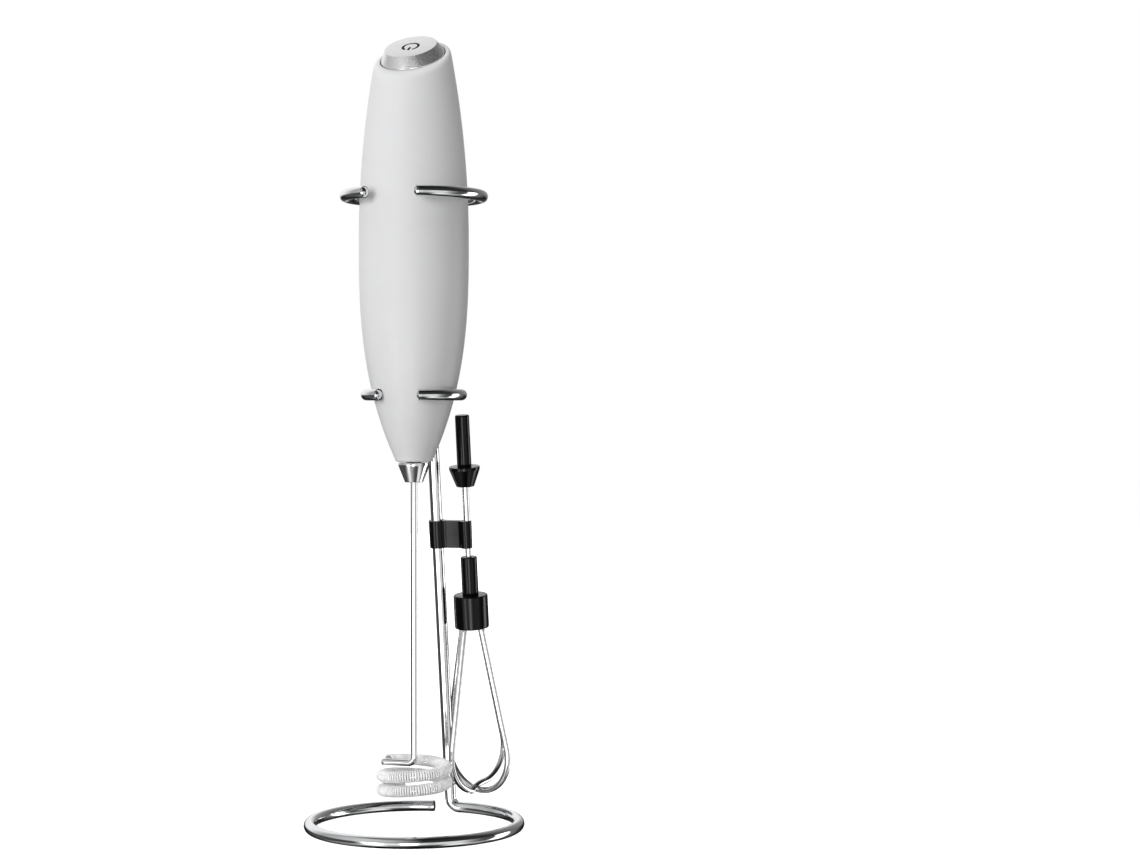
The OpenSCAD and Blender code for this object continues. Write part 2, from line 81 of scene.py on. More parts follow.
wire_r = (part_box("upper_ring")[1].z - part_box("upper_ring")[0].z) / 2
base_low, base_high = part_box("stand_wire")
base_r = base_high.x - wire_r
post_origin = Vector(joints["clip_swivel"]["pos_m"])
post_axis = Vector(joints["clip_swivel"]["axis"]).normalized()
post_frame = upright(post_origin, post_axis)
wire_z = post_origin.z

press_axis = Vector(joints["button_press"]["axis"]).normalized()
top_normal = -press_axis
top_plane = span("handle_shell", top_normal)[1]
slope_axis = top_normal.cross(X_AXIS)
slope_mid = sum(span("button_cap", slope_axis)) / 2
top_origin = top_normal * top_plane + slope_axis * slope_mid
top_frame = upright(top_origin, top_normal)

beater_x = sum(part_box("beater_shaft")[i].x for i in (0, 1)) / 2
beater_frame = post_frame @ Matrix.Translation((beater_x, 0, 0))


# ---- Camera ----

VIEW_AZIMUTH = math.radians(21.3)
VIEW_DISTANCE = 0.735
VIEW_HEIGHT = 0.1339
AIM_SIDE = 0.0484
AIM_HEIGHT = 0.1245
LENS_MM = 74.8


def make_camera():
    """Camera at the photograph's angle, with the object left of the middle as it stands there."""
    side = Vector((math.cos(VIEW_AZIMUTH), math.sin(VIEW_AZIMUTH), 0))
    data = bpy.data.cameras.new("camera")
    data.lens = LENS_MM
    data.sensor_width = 36
    data.clip_start = 0.01
    data.clip_end = 50
    camera = bpy.data.objects.new("camera", data)
    bpy.context.scene.collection.objects.link(camera)
    back = Vector((math.sin(VIEW_AZIMUTH), -math.cos(VIEW_AZIMUTH), 0))
    camera.location = back * VIEW_DISTANCE + Z_AXIS * VIEW_HEIGHT
    aim = side * AIM_SIDE + Z_AXIS * AIM_HEIGHT
    camera.rotation_euler = (aim - camera.location).to_track_quat("-Z", "Y").to_euler()
    bpy.context.scene.camera = camera


make_camera()


# ---- Materials ----

class Look:
    """A principled material with helpers for its noise, bump and colour variation."""

    def __init__(self, name, color, roughness, metallic=0.0):
        self.material = bpy.data.materials.new(name)
        self.material.use_nodes = True
        self.tree = self.material.node_tree
        self.shader = self.tree.nodes["Principled BSDF"]
        self.color = color
        self.set("Base Color", (*color, 1))
        self.set("Roughness", roughness)
        self.set("Metallic", metallic)
        self.place = self.tree.nodes.new("ShaderNodeTexCoord").outputs["Object"]
        self.last_normal = None

    def set(self, socket, value):
        self.shader.inputs[socket].default_value = value

    def noise(self, scale, detail=4, stretch=(1, 1, 1)):
        """Noise over the object's own coordinates, in cycles per metre."""
        mapping = self.tree.nodes.new("ShaderNodeMapping")
        mapping.inputs["Scale"].default_value = stretch
        self.tree.links.new(self.place, mapping.inputs["Vector"])
        noise = self.tree.nodes.new("ShaderNodeTexNoise")
        noise.inputs["Scale"].default_value = scale
        noise.inputs["Detail"].default_value = detail
        self.tree.links.new(mapping.outputs["Vector"], noise.inputs["Vector"])
        return noise.outputs["Fac"]

    def ramp(self, source, low, high, start=0.3, end=0.7):
        """Source mapped from start..end to low..high."""
        node = self.tree.nodes.new("ShaderNodeMapRange")
        node.inputs["From Min"].default_value = start
        node.inputs["From Max"].default_value = end
        node.inputs["To Min"].default_value = low
        node.inputs["To Max"].default_value = high
        self.tree.links.new(source, node.inputs["Value"])
        return node.outputs["Result"]

    def vary_roughness(self, source, low, high):
        self.tree.links.new(self.ramp(source, low, high), self.shader.inputs["Roughness"])

    def vary_color(self, source, darker, lighter):
        """Base colour between two multiples of the material's colour."""
        mix = self.tree.nodes.new("ShaderNodeMix")
        mix.data_type = "RGBA"
        mix.inputs["A"].default_value = (*[min(c * darker, 1) for c in self.color], 1)
        mix.inputs["B"].default_value = (*[min(c * lighter, 1) for c in self.color], 1)
        self.tree.links.new(self.ramp(source, 0, 1), mix.inputs["Factor"])
        self.tree.links.new(mix.outputs["Result"], self.shader.inputs["Base Color"])

    def bump(self, source, strength, depth_mm):
        node = self.tree.nodes.new("ShaderNodeBump")
        node.inputs["Strength"].default_value = strength
        node.inputs["Distance"].default_value = depth_mm * MM
        self.tree.links.new(source, node.inputs["Height"])
        if self.last_normal is not None:
            self.tree.links.new(self.last_normal, node.inputs["Normal"])
        self.tree.links.new(node.outputs["Normal"], self.shader.inputs["Normal"])
        self.last_normal = node.outputs["Normal"]


def polished(name, color, low, high, drawn=(1, 1, 1)):
    """Polished metal: cloudy roughness and faint marks left by drawing and buffing."""
    look = Look(name, color, low, 1.0)
    look.vary_roughness(look.noise(220, 5), low, high)
    look.vary_color(look.noise(90, 3), 0.96, 1.03)
    look.bump(look.noise(2600, 3, drawn), 0.12, 0.01)
    return look.material


def spring_with_painted_sheen():
    """Fine spring wire with a painted sheen: a near-white base and little metal stand in for the many small
    reflections of its steel. It is lightly scattered by its own drawing marks.
    """
    look = Look("coil_spring_painted_sheen", (0.95, 0.95, 0.955), 0.32, 0.1)
    look.vary_roughness(look.noise(400, 4), 0.22, 0.36)
    look.vary_color(look.noise(150, 3), 0.96, 1.03)
    look.bump(look.noise(2600, 3), 0.12, 0.01)
    return look.material


def satin_white():
    """White moulded plastic with a fine spark-eroded grain."""
    look = Look("white_satin", (0.83, 0.83, 0.835), 0.42)
    look.vary_roughness(look.noise(160, 4), 0.38, 0.47)
    look.vary_color(look.noise(45, 3), 0.985, 1.01)
    look.bump(look.noise(4200, 3), 0.16, 0.02)
    look.bump(look.noise(60, 2), 0.05, 0.05)
    look.set("Specular IOR Level", 0.45)
    look.set("Subsurface Weight", 0.04)
    look.set("Subsurface Scale", 0.002)
    return look.material


def satin_button():
    """Silver lacquered button with a metallic flake."""
    look = Look("button_satin", (0.80, 0.80, 0.805), 0.24, 0.8)
    look.vary_roughness(look.noise(900, 5), 0.2, 0.29)
    look.vary_color(look.noise(5200, 2), 0.96, 1.03)
    look.bump(look.noise(5200, 2), 0.02, 0.01)
    return look.material


def gloss_black():
    """Glossy black plastic with moulding flow and fine handling marks."""
    look = Look("black_gloss", (0.0022, 0.0022, 0.0024), 0.14)
    look.vary_roughness(look.noise(260, 5), 0.10, 0.2)
    look.vary_color(look.noise(120, 3), 0.7, 1.4)
    look.bump(look.noise(900, 4, (1, 1, 0.35)), 0.06, 0.02)
    look.set("Specular IOR Level", 0.22)
    return look.material


def moulded(name, color, roughness):
    """Plain moulded plastic or rubber of the inner parts."""
    look = Look(name, color, roughness)
    look.vary_roughness(look.noise(400, 4), roughness - 0.06, roughness + 0.08)
    look.vary_color(look.noise(150, 3), 0.93, 1.05)
    look.bump(look.noise(2400, 3), 0.2, 0.02)
    return look.material


def mark_paint():
    """Matt dark paint that fills the button's mark."""
    look = Look("mark_dark", (0.03, 0.03, 0.032), 0.7)
    look.vary_roughness(look.noise(700, 3), 0.62, 0.8)
    look.vary_color(look.noise(300, 3), 0.8, 1.2)
    look.bump(look.noise(3000, 3), 0.2, 0.02)
    look.set("Specular IOR Level", 0.15)
    return look.material


def wound_copper():
    """Enamelled copper windings, drawn as fine bands across the rotor."""
    look = Look("copper_wound", (0.72, 0.36, 0.18), 0.3, 0.9)
    bands = look.noise(300, 2, (1, 1, 12))
    look.vary_color(bands, 0.75, 1.1)
    look.bump(bands, 0.4, 0.1)
    return look.material


def cell_jacket():
    """Battery jacket: green-black body, and no print."""
    look = Look("cell_jacket", (0.02, 0.06, 0.045), 0.3, 0.35)
    look.vary_roughness(look.noise(500, 4), 0.25, 0.38)
    look.vary_color(look.noise(200, 3), 0.85, 1.15)
    look.bump(look.noise(1500, 3), 0.08, 0.02)
    return look.material


looks = {
    "chrome_wire": polished("chrome_polished", (0.80, 0.81, 0.82), 0.045, 0.10),
    "collar_chrome": polished("collar_polished", (0.78, 0.78, 0.79), 0.07, 0.14),
    "polished_steel": polished("steel_polished", (0.74, 0.74, 0.75), 0.06, 0.13, (1, 1, 0.1)),
    "coil_steel": spring_with_painted_sheen(),
    "motor_steel": polished("motor_drawn", (0.60, 0.60, 0.61), 0.22, 0.36, (1, 1, 8)),
    "contact_metal": polished("contact_nickel", (0.70, 0.69, 0.67), 0.18, 0.3),
    "brass": polished("terminal_brass", (0.78, 0.60, 0.28), 0.2, 0.32),
    "white_plastic": satin_white(),
    "button_metal": satin_button(),
    "black_plastic": gloss_black(),
    "grey_plastic": moulded("grey_moulded", (0.42, 0.43, 0.44), 0.5),
    "mark_grey": mark_paint(),
    "plunger_red": moulded("plunger_moulded", (0.55, 0.05, 0.04), 0.4),
    "board_green": moulded("board_mask", (0.03, 0.2, 0.08), 0.35),
    "lead_black": moulded("lead_black_jacket", (0.02, 0.02, 0.02), 0.45),
    "lead_red": moulded("lead_red_jacket", (0.55, 0.03, 0.02), 0.45),
    "lead_yellow": moulded("lead_yellow_jacket", (0.75, 0.5, 0.04), 0.45),
    "copper_winding": wound_copper(),
    "cell_jacket": cell_jacket(),
}
slot_of = {part["node"]: part["material_slot"] for part in frame["record"]["subparts"]}
bodies = frame["record"]["behaviour"]["bodies"]
body_of = {node: body for body, members in bodies.items() for node in members}


# ---- Mesh helpers ----

SHARP = math.radians(38)
# A wire's end that is rounded by less than this takes fewer rings
SMALL_TIP = 0.5 * MM
# Inner radius of a lathe's flat ends, which keeps their points apart
CENTRE_R = 0.1 * MM


def smooth(mesh, sharp=SHARP):
    """Smooth shading, with edges over the sharp angle kept crisp."""
    bm = bmesh.new()
    bm.from_mesh(mesh)
    bmesh.ops.recalc_face_normals(bm, faces=bm.faces)
    for face in bm.faces:
        face.smooth = True
    for edge in bm.edges:
        edge.smooth = len(edge.link_faces) != 2 or edge.calc_face_angle(0) < sharp
    bm.to_mesh(mesh)
    bm.free()


def add_piece(name, verts, faces, body, slot, stands_for=(), sharp=SHARP):
    """A mesh piece that rides on a body, takes a slot's look and stands for CAD nodes."""
    mesh = bpy.data.meshes.new(name)
    mesh.from_pydata([tuple(v) for v in verts], [], faces)
    smooth(mesh, sharp)
    mesh.materials.append(looks[slot])
    piece = bpy.data.objects.new(name, mesh)
    bpy.context.scene.collection.objects.link(piece)
    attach(piece, body)
    if stands_for:
        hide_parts(*stands_for)
    return piece


def stand_for(node, name, verts, faces, sharp=SHARP):
    """A piece that takes a single CAD node's place, body and slot."""
    return add_piece(name, verts, faces, body_of[node], slot_of[node], (node,), sharp)


def lathe(profile, matrix=Matrix.Identity(4), segments=96, closed=False):
    """Solid of revolution about the matrix's z axis. The profile holds (radius, height) pairs:
    a closed one is a ring, and an open one starts and ends on the axis."""
    verts, faces = [], []
    for r, z in profile:
        for k in range(segments):
            a = 2 * math.pi * k / segments
            verts.append(matrix @ Vector((r * math.cos(a), r * math.sin(a), z)))
    rows = len(profile)
    for i in range(rows if closed else rows - 1):
        low, high = i * segments, (i + 1) % rows * segments
        for k in range(segments):
            n = (k + 1) % segments
            faces.append((low + k, low + n, high + n, high + k))
    if not closed:
        faces.append(tuple(range(segments - 1, -1, -1)))
        faces.append(tuple((rows - 1) * segments + k for k in range(segments)))
    return verts, faces


def rounded(corners, radius, steps=5):
    """A profile with each inner corner of a list of (r, z) points rounded off."""
    out = [corners[0]]
    for before, corner, after in zip(corners, corners[1:], corners[2:]):
        b, c, a = Vector(before), Vector(corner), Vector(after)
        cut = min(radius, (b - c).length * 0.49, (a - c).length * 0.49)
        start, end = c + (b - c).normalized() * cut, c + (a - c).normalized() * cut
        for i in range(steps + 1):
            t = i / steps
            out.append(tuple(start * (1 - t) ** 2 + c * 2 * t * (1 - t) + end * t * t))
    out.append(corners[-1])
    return out


def rings_along(path):
    """Position, normal and binormal at each point of a path, turned as little as possible."""
    tangents = []
    for i in range(len(path)):
        ahead, behind = path[min(i + 1, len(path) - 1)], path[max(i - 1, 0)]
        tangents.append((ahead - behind).normalized())
    seed = X_AXIS if abs(tangents[0].x) < 0.9 else Z_AXIS
    normal = (seed - tangents[0] * seed.dot(tangents[0])).normalized()
    out = []
    for point, tangent in zip(path, tangents):
        normal = (normal - tangent * normal.dot(tangent)).normalized()
        out.append((point, normal, tangent.cross(normal)))
    return out


def sweep(path, radius, sides=28, tip=0.3 * MM):
    """Round wire along a path, with flat ends whose edges are rounded over by a tip radius."""
    rings = rings_along(path)
    first, last = (path[1] - path[0]).normalized(), (path[-1] - path[-2]).normalized()
    turns = np.linspace(0, math.pi / 2, 3 if tip < SMALL_TIP else 8)
    start, end = [
        [(ring, radius - tip * (1 - math.sin(t)), along * tip * (1 - math.cos(t))) for t in turns]
        for ring, along in ((rings[0], first), (rings[-1], -last))
    ]
    middle = [(ring, radius, Vector((0, 0, 0))) for ring in rings[1:-1]]
    rows = start + middle + end[::-1]
    verts, faces = [], []
    for (point, normal, binormal), r, shift in rows:
        for k in range(sides):
            a = 2 * math.pi * k / sides
            verts.append(point + shift + (normal * math.cos(a) + binormal * math.sin(a)) * r)
    for i in range(len(rows) - 1):
        for k in range(sides):
            n = (k + 1) % sides
            faces.append((i * sides + k, i * sides + n, (i + 1) * sides + n, (i + 1) * sides + k))
    faces.append(tuple(range(sides - 1, -1, -1)))
    faces.append(tuple((len(rows) - 1) * sides + k for k in range(sides)))
    return verts, faces


def arc_points(radius, z, start, end, steps):
    """Points of a level arc about the frother's axis, from one angle to another in degrees."""
    angles = np.radians(np.linspace(start, end, steps + 1))
    return [Vector((radius * math.cos(a), radius * math.sin(a), z)) for a in angles]


def cubic(start, a, b, end, steps):
    """Points of a cubic curve with two control points."""
    return [
        start * (1 - t) ** 3 + a * 3 * t * (1 - t) ** 2 + b * 3 * t * t * (1 - t) + end * t ** 3
        for t in np.linspace(0, 1, steps + 1)
    ]


def corner_points(start, heading, end, leaving, steps=12):
    """Bend between two straight lengths of wire, close to a circular arc."""
    turn = heading.angle(leaving)
    chord = (end - start).length
    radius = chord / (2 * math.sin(turn / 2))
    handle = 4 / 3 * math.tan(turn / 4) * radius
    return cubic(start, start + heading * handle, end - leaving * handle, end, steps)


# ---- Stand ----

BASE_GAP = 9.5
BEND_R = 3 * MM
KNEE_R = 12 * MM
WELD = 0.1 * MM
RING_TIP = 1.5 * MM
LOWER_MOUTH = 24
UPPER_MOUTH = 21
WELD_REACH = 1.5 * MM
WELD_THICK = 0.75 * MM
WELD_SIDE = 0.2 * MM
WELD_STEP = 0.7 * MM
WELD_POLE = 0.08


def ring_radius(node):
    """Centre-line radius of a ring, from its width."""
    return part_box(node)[1].x - wire_r


def ring_height(node):
    low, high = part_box(node)
    return (low.z + high.z) / 2


def stand_path():
    """Centre line of the one long wire: base ring, bend, leaning post, knee, upper post."""
    lean = post_axis.angle(Z_AXIS)
    start = math.atan2(BEND_R, base_r - BEND_R * math.sin(lean))
    ring = arc_points(base_r, wire_z, 90 + BASE_GAP, 450 - math.degrees(start), 220)
    heading = Vector((-math.cos(start), math.sin(start), 0))
    post_start = post_origin + post_axis * (BEND_R / math.cos(lean))
    bend = corner_points(ring[-1], heading, post_start, post_axis)
    low_z, high_z = ring_height("lower_ring"), ring_height("upper_ring")
    low = Vector((0, ring_radius("lower_ring") + 2 * wire_r - WELD, low_z))
    high = Vector((0, ring_radius("upper_ring") + 2 * wire_r - WELD, high_z))
    upper_axis = (high - low).normalized()
    slope, lean_slope = upper_axis.y / upper_axis.z, -post_axis.y / post_axis.z
    knee_z = (post_origin.y + wire_z * lean_slope - low.y + low_z * slope) / (lean_slope + slope)
    knee = Vector((0, low.y + slope * (knee_z - low_z), knee_z))
    cut = KNEE_R * math.tan(post_axis.angle(upper_axis) / 2)
    knee_bend = corner_points(knee - post_axis * cut, post_axis, knee + upper_axis * cut, upper_axis)
    top = knee + upper_axis * (base_high.z - wire_r * math.sin(upper_axis.angle(Z_AXIS)) - knee_z)
    post = [post_start.lerp(knee_bend[0], t) for t in np.linspace(0, 1, 12)]
    upper = [knee_bend[-1].lerp(top, t) for t in np.linspace(0, 1, 10)]
    return ring + bend[1:] + post[1:] + knee_bend[1:] + upper[1:]


def make_stand():
    verts, faces = sweep(stand_path(), wire_r, 32)
    verts = [Vector((v.x, v.y, max(v.z, 0))) for v in verts]
    stand_for("stand_wire", "stand_bent_wire", verts, faces)
    for node, mouth in (("lower_ring", LOWER_MOUTH), ("upper_ring", UPPER_MOUTH)):
        name = "stand_" + node
        path = arc_points(ring_radius(node), ring_height(node), mouth - 90, 270 - mouth, 140)
        stand_for(node, name, *sweep(path, wire_r, 32, RING_TIP))
        make_weld(node, name + "_weld")


def make_weld(node, name):
    """Two flattened beads of weld between a ring and the post, one above the other."""
    y = ring_radius(node) + wire_r
    angles = np.linspace(WELD_POLE, math.pi - WELD_POLE, 12)
    bead = [(WELD_REACH * math.sin(a), WELD_THICK * math.cos(a)) for a in angles]
    for side, suffix in ((-1, "_low"), (1, "_high")):
        place = Matrix.Translation((side * WELD_SIDE, y, ring_height(node) + side * WELD_STEP))
        verts, faces = lathe(bead, place @ Matrix.Rotation(math.pi / 2, 4, "Y"), 24)
        add_piece(name + suffix, verts, faces, "stand", "chrome_wire")


# ---- Handle ----

TOP_FALL = 5 * MM
TOP_LEN = 56 * MM
NOSE_FALL = 11 * MM
NOSE_LEN = 67 * MM
NOSE_POWER = 2.73
SHELL_WALL = 1.5 * MM
NOSE_ROUND = 0.8 * MM
DECK = 4.5 * MM
LIP_ROUND = 2.0 * MM
POCKET_EDGE = 0.25 * MM
COVER_HALF = math.radians(50)
COVER_CLEAR = 0.15 * MM
COVER_SEAM = 0.009
BELLY_SHIFT = 1.05 * MM
POCKET_CLEAR = 0.3 * MM

handle_low, handle_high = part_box("handle_shell")
belly_z = handle_low.z + NOSE_LEN + BELLY_SHIFT
handle_r_max = (handle_high.x - handle_low.x) / 2
bush_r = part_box("nose_bush")[1].x
cavity_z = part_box("nose_bush")[1].z + 1 * MM
cover_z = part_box("battery_cover")[0].z
button_r = (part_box("button_cap")[1].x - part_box("button_cap")[0].x) / 2
pocket_r = button_r + POCKET_CLEAR


def handle_r(z):
    if z > belly_z:
        return handle_r_max - TOP_FALL * ((z - belly_z) / TOP_LEN) ** 2
    return handle_r_max - NOSE_FALL * ((belly_z - z) / NOSE_LEN) ** NOSE_POWER


def rim_height(angle, inset, depth):
    """Height where the inset outline meets the plane at a depth under the sloping top."""
    low, high = cover_z, handle_high.z + 0.03
    for _ in range(40):
        z = (low + high) / 2
        r = handle_r(z) - inset
        along = Vector((r * math.cos(angle), r * math.sin(angle), z)).dot(top_normal)
        low, high = (low, z) if along > top_plane - depth else (z, high)
    return (low + high) / 2


def on_outline(angle, z, inset=0.0):
    r = handle_r(z) - inset
    return Vector((r * math.cos(angle), r * math.sin(angle), z))


def pocket_point(angle, r, depth):
    return top_frame @ Vector((r * math.cos(angle), r * math.sin(angle), -depth))


LOWER_ROWS = 26
UPPER_ROWS = 56
LIP_ROWS = 9
FRONT_COLUMNS = 131
COVER_COLUMNS = 51


def shell_column(angle, gap=0.0):
    """Outer and inner points of the shell at one angle, paired from the nose to the pocket."""
    nose = handle_low.z
    outer = []
    for a in np.linspace(-math.pi / 2, 0, 6):
        r = handle_r(nose + NOSE_ROUND) - NOSE_ROUND * (1 - math.cos(a))
        z = nose + NOSE_ROUND * (1 + math.sin(a))
        outer.append(Vector((r * math.cos(angle), r * math.sin(angle), z)))
    for z in np.linspace(nose + NOSE_ROUND, cover_z - gap, LOWER_ROWS)[1:]:
        outer.append(on_outline(angle, z))
    split = len(outer) - 1
    rim_z = rim_height(angle, 0, 0)
    corner = on_outline(angle, rim_z)
    edge = pocket_point(angle, pocket_r + POCKET_EDGE, 0)
    land = (corner - edge).length
    shoulder_z = rim_z - LIP_ROUND
    shoulder = on_outline(angle, shoulder_z)
    inward = corner.lerp(edge, min(LIP_ROUND, land * 0.8) / land)
    for z in np.linspace(cover_z - gap, shoulder_z, UPPER_ROWS)[1:]:
        outer.append(on_outline(angle, z))
    for t in np.linspace(0, 1, LIP_ROWS)[1:]:
        outer.append(shoulder * (1 - t) ** 2 + corner * 2 * t * (1 - t) + inward * t * t)
    outer.append(edge)
    outer.append(pocket_point(angle, pocket_r + POCKET_EDGE * 0.3, POCKET_EDGE * 0.3))
    outer.append(pocket_point(angle, pocket_r, POCKET_EDGE))
    deck_z = rim_height(angle, SHELL_WALL, DECK)
    inner = []
    wall_rows = split + UPPER_ROWS
    for k in range(wall_rows):
        z = outer[k].z
        if z < cavity_z:
            inner.append(Vector((bush_r * math.cos(angle), bush_r * math.sin(angle), z)))
        elif k <= split:
            inner.append(on_outline(angle, z, SHELL_WALL))
        else:
            share = (k - split) / (wall_rows - 1 - split)
            z = (cover_z - gap) + (deck_z - cover_z + gap) * share
            inner.append(on_outline(angle, z, SHELL_WALL))
    pocket_low = pocket_point(angle, pocket_r, DECK)
    for t in np.linspace(0, 1, LIP_ROWS)[1:]:
        inner.append(inner[wall_rows - 1].lerp(pocket_low, t))
    inner.append(pocket_point(angle, pocket_r, DECK * 0.66))
    inner.append(pocket_point(angle, pocket_r, DECK * 0.33))
    inner.append(pocket_point(angle, pocket_r, DECK * 0.12))
    return outer, inner, split


def side_strip(index, column, low, high):
    """Quads that close one column between its walls, from one row to another."""
    return [
        [index["o", column, k], index["o", column, k + 1], index["i", column, k + 1], index["i", column, k]]
        for k in range(low, high)
    ]


def skin_faces(columns, around, start_row, end_rows, verts):
    """Quads of paired columns: outer and inner walls, and the strips that close them."""
    faces = []
    index = {}
    for c, (outer, inner, _) in enumerate(columns):
        for k in range(start_row, len(outer)):
            for wall, points in (("o", outer), ("i", inner)):
                index[wall, c, k] = len(verts)
                verts.append(points[k])
    count = len(columns)
    for c in range(count if around else count - 1):
        n = (c + 1) % count
        top = min(end_rows[c], end_rows[n])
        for k in range(start_row, top):
            faces.append([index[w, j, m] for w, j, m in
                          (("o", c, k), ("o", n, k), ("o", n, k + 1), ("o", c, k + 1))])
            faces.append([index[w, j, m] for w, j, m in
                          (("i", c, k), ("i", c, k + 1), ("i", n, k + 1), ("i", n, k))])
        for k in (start_row, top):
            faces.append([index["o", c, k], index["i", c, k], index["i", n, k], index["o", n, k]])
        for j, other in ((c, n), (n, c)):
            faces += side_strip(index, j, end_rows[other], end_rows[j])
    if not around:
        for j in (0, count - 1):
            faces += side_strip(index, j, start_row, end_rows[j])
    return faces


def used_only(verts, faces):
    """The same mesh without the points that no face uses."""
    used = sorted({i for face in faces for i in face})
    place = {old: new for new, old in enumerate(used)}
    return [verts[i] for i in used], [tuple(place[i] for i in face) for face in faces]


def make_handle():
    back = math.pi / 2
    half = COVER_HALF + COVER_SEAM
    front = np.linspace(back + half, back + 2 * math.pi - half, FRONT_COLUMNS)
    behind = np.linspace(back - half, back + half, COVER_COLUMNS)[1:-1]
    columns = [shell_column(a, COVER_CLEAR) for a in [*front, *behind]]
    split = columns[0][2]
    full = len(columns[0][0]) - 1
    end_rows = [full] * len(front) + [split] * len(behind)
    verts = []
    faces = skin_faces(columns, True, 0, end_rows, verts)
    stand_for("handle_shell", "handle_white_shell", *used_only(verts, faces))
    angles = np.linspace(back - COVER_HALF, back + COVER_HALF, COVER_COLUMNS)
    columns = [shell_column(a) for a in angles]
    verts = []
    faces = skin_faces(columns, False, split, [full] * len(columns), verts)
    stand_for("battery_cover", "handle_battery_cover", *used_only(verts, faces))


# ---- Button ----

MARK_R = 2.45 * MM
MARK_LINE = 0.85 * MM
MARK_GAP = math.radians(70)
MARK_SINK = 0.08 * MM
FACE_R = 8.2 * MM
CAP_WALL = 1.2 * MM
MARK_CLEAR = 0.01 * MM
SKIRT_EDGE = 0
STEM_R = 2 * MM
STEM_GAP = 0.1 * MM
CAP_CENTRE_R = 0.2 * MM
CAP_ROUND = 0.12 * MM


def prism(outline, low, high, matrix):
    """Upright solid with a closed outline of (x, y) points."""
    count = len(outline)
    verts = [matrix @ Vector((x, y, z)) for z in (low, high) for x, y in outline]
    faces = [tuple(range(count - 1, -1, -1)), tuple(range(count, 2 * count))]
    faces += [(k, (k + 1) % count, count + (k + 1) % count, count + k) for k in range(count)]
    return verts, faces


def mark_outlines(grow=0.0):
    """Outlines of the power mark: an open ring and a stroke in its opening, with round ends."""
    half = MARK_LINE / 2 + grow
    start, end = -math.pi / 2 + MARK_GAP / 2, 3 * math.pi / 2 - MARK_GAP / 2
    angles = np.linspace(start, end, 65)
    outer = [((MARK_R + half) * math.cos(a), (MARK_R + half) * math.sin(a)) for a in angles]
    inner = [((MARK_R - half) * math.cos(a), (MARK_R - half) * math.sin(a)) for a in angles[::-1]]

    def cap(a, turn):
        x, y = MARK_R * math.cos(a), MARK_R * math.sin(a)
        return [(x + half * math.cos(a + t), y + half * math.sin(a + t)) for t in turn]

    upper_half, lower_half = (0, math.pi), (math.pi, 2 * math.pi)
    ring = outer + cap(end, np.linspace(*upper_half, 9)[1:-1])
    ring += inner + cap(start, np.linspace(*lower_half, 9)[1:-1])
    stroke = []
    for y, turns in ((-MARK_LINE, upper_half), (-MARK_R, lower_half)):
        stroke += [(half * math.cos(t), y + half * math.sin(t)) for t in np.linspace(*turns, 11)]
    return ring, stroke


def prisms(outlines, low, high, matrix):
    """Prisms over several outlines, as one mesh."""
    verts, faces = [], []
    for outline in outlines:
        more, sides = prism(outline, low, high, matrix)
        faces += [tuple(i + len(verts) for i in side) for side in sides]
        verts += more
    return verts, faces


def carve(piece, verts, faces):
    """Cut a closed shape out of a piece."""
    mesh = bpy.data.meshes.new("cutter")
    mesh.from_pydata(verts, [], faces)
    cutter = bpy.data.objects.new("cutter", mesh)
    bpy.context.scene.collection.objects.link(cutter)
    cut = piece.modifiers.new("recess", "BOOLEAN")
    cut.object = cutter
    cut.operation = "DIFFERENCE"
    cut.solver = "EXACT"
    graph = bpy.context.evaluated_depsgraph_get()
    carved = bpy.data.meshes.new_from_object(piece.evaluated_get(graph))
    piece.modifiers.clear()
    piece.data = carved
    bpy.data.objects.remove(cutter)
    smooth(carved, math.radians(30))


def make_button():
    low, high = span("button_cap", top_normal, top_origin)
    stem_low = span("switch_plunger", top_normal, top_origin)[1] + STEM_GAP
    mark_low, mark_high = span("power_mark", top_normal, top_origin)
    r = button_r
    under = high - CAP_WALL
    corners = [
        (STEM_R, under), (FACE_R - CAP_WALL, under), (r - CAP_WALL, SKIRT_EDGE), (r - CAP_WALL, low),
        (r, low), (r, SKIRT_EDGE), (FACE_R, high), (CAP_CENTRE_R, high)
    ]
    outline = [(CAP_CENTRE_R, stem_low), (STEM_R, stem_low)] + rounded(corners, CAP_ROUND, 6)
    cap = stand_for("button_cap", "button_silver_cap", *lathe(outline, top_frame, 160))
    carve(cap, *prisms(mark_outlines(), mark_low, high + 1 * MM, top_frame))
    fill = prisms(mark_outlines(-MARK_CLEAR), mark_low, mark_high - MARK_SINK, top_frame)
    stand_for("power_mark", "button_mark_fill", *fill)


# ---- Whisk ----

FOOT_BEND = 2 * MM
SHAFT_TIP = 0.2 * MM
COLLAR_TIP_R = 2.8 * MM
COLLAR_RIM = 0.9 * MM
COLLAR_ROUND = 0.18 * MM
PLUG_CHAMFER = 0.3 * MM
PLUG_ROUND = 0.15 * MM


def make_whisk():
    plug_low, plug_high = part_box("whisk_plug")
    plug_r = plug_high.x
    shaft_low, shaft_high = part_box("whisk_shaft")
    shaft_r = shaft_high.x
    foot_z = shaft_low.z + shaft_r
    foot_x = shaft_low.x
    elbow = corner_points(
        Vector((0, 0, foot_z + FOOT_BEND)), -Z_AXIS, Vector((-FOOT_BEND, 0, foot_z)), -X_AXIS, 10
    )
    top = Vector((0, 0, shaft_high.z))
    tip = Vector((foot_x, 0, foot_z))
    path = [top.lerp(elbow[0], t) for t in np.linspace(0, 1, 16)][:-1] + elbow
    path += [elbow[-1].lerp(tip, t) for t in np.linspace(0, 1, 6)][1:]
    stand_for("whisk_shaft", "whisk_steel_shaft", *sweep(path, shaft_r, 28, SHAFT_TIP))
    make_collar("whisk_collar", "whisk_cone_collar", Matrix.Identity(4), shaft_r)
    make_plug("whisk_plug", "whisk_drive_plug", Matrix.Identity(4), plug_r)
    make_coil()


